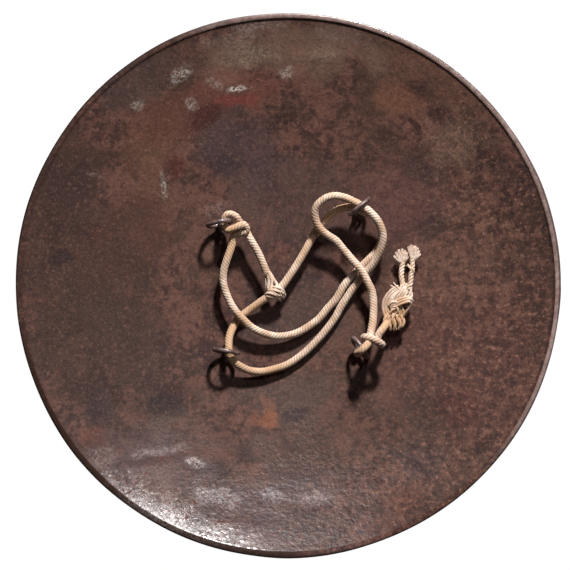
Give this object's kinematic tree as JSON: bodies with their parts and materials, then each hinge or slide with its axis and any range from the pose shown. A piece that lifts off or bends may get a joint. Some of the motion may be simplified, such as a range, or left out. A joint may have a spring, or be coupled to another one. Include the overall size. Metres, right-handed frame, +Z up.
{
  "type": "round shield",
  "caption": "Round dished iron shield lying hollow side up, with a beaded rim, low bosses in front, rings in eyes inside and a knotted rope grip.",
  "frame": {"origin": "on the surface it lies on, straight below the middle of the plate", "axes": "+Z up, out of the hollow side; +X and +Y across the plate, +Y to the top of the pictured view"},
  "size_m": [0.4998, 0.4998, 0.0613],
  "materials": {
    "plate_iron": "forged iron with an uneven brown rust patina, satin, pitted",
    "fitting_iron": "forged iron, darker brown-grey patina, worn smoother",
    "rope_cotton": "undyed cotton, four strands twisted, a little dirty in the lay, frayed at the end"
  },
  "bodies": {
    "root": {"shield_plate": "plate_iron", "ring_bolt_upper_left": "fitting_iron", "ring_bolt_upper_right": "fitting_iron", "ring_bolt_lower_left": "fitting_iron", "ring_bolt_lower_right": "fitting_iron", "ring_upper_left": "fitting_iron", "ring_upper_right": "fitting_iron", "ring_lower_left": "fitting_iron", "ring_lower_right": "fitting_iron", "rope_knot_upper_left": "rope_cotton", "rope_loop_upper_left": "rope_cotton", "rope_tie": "rope_cotton", "rope_upper_stretch": "rope_cotton", "rope_hitch_middle": "rope_cotton", "rope_lower_stretch": "rope_cotton", "rope_knot_lower_right": "rope_cotton", "rope_loop_lower_right": "rope_cotton", "rope_tail": "rope_cotton", "rope_end_knot": "rope_cotton", "rope_frayed_left": "rope_cotton", "rope_frayed_right": "rope_cotton"}
  },
  "joints": []
}
